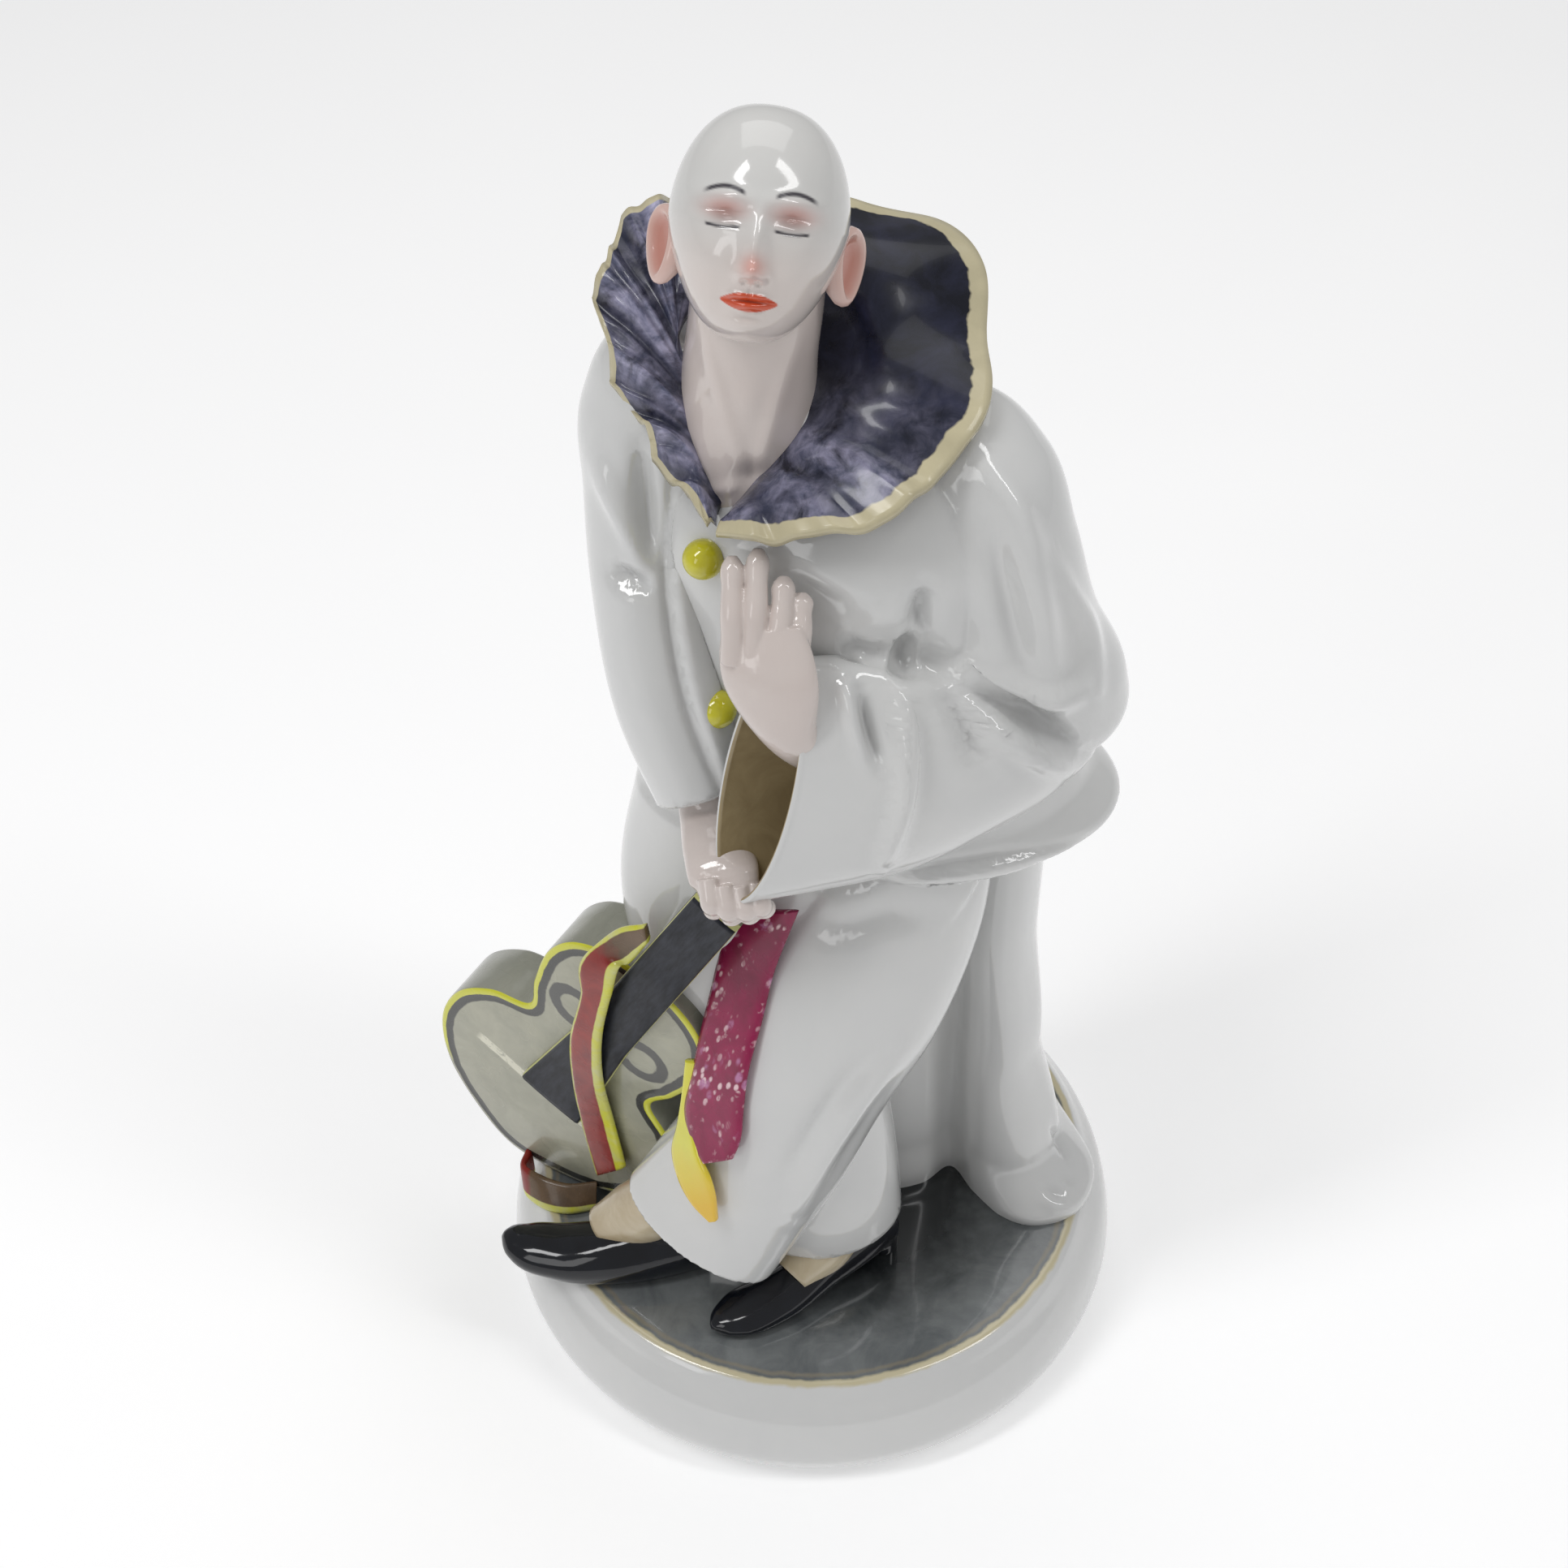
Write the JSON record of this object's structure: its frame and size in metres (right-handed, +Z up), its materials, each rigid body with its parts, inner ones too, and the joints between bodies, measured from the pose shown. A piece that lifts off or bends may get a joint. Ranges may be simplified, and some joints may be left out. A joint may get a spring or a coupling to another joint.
{
  "type": "pierrot figurine",
  "caption": "Glazed porcelain figurine of a standing pierrot in a white costume with a dark ruff, leaning on a draped support with a small guitar, on a round base.",
  "frame": {"origin": "centre of the flat underside of the round base", "axes": "+Z up from the underside, the figure's front towards -Y"},
  "size_m": [0.1671, 0.1524, 0.3267],
  "materials": {
    "glazed_porcelain": "glossy glaze over painted porcelain"
  },
  "bodies": {
    "root": {"pierrot_figurine": "glazed_porcelain"}
  },
  "joints": []
}
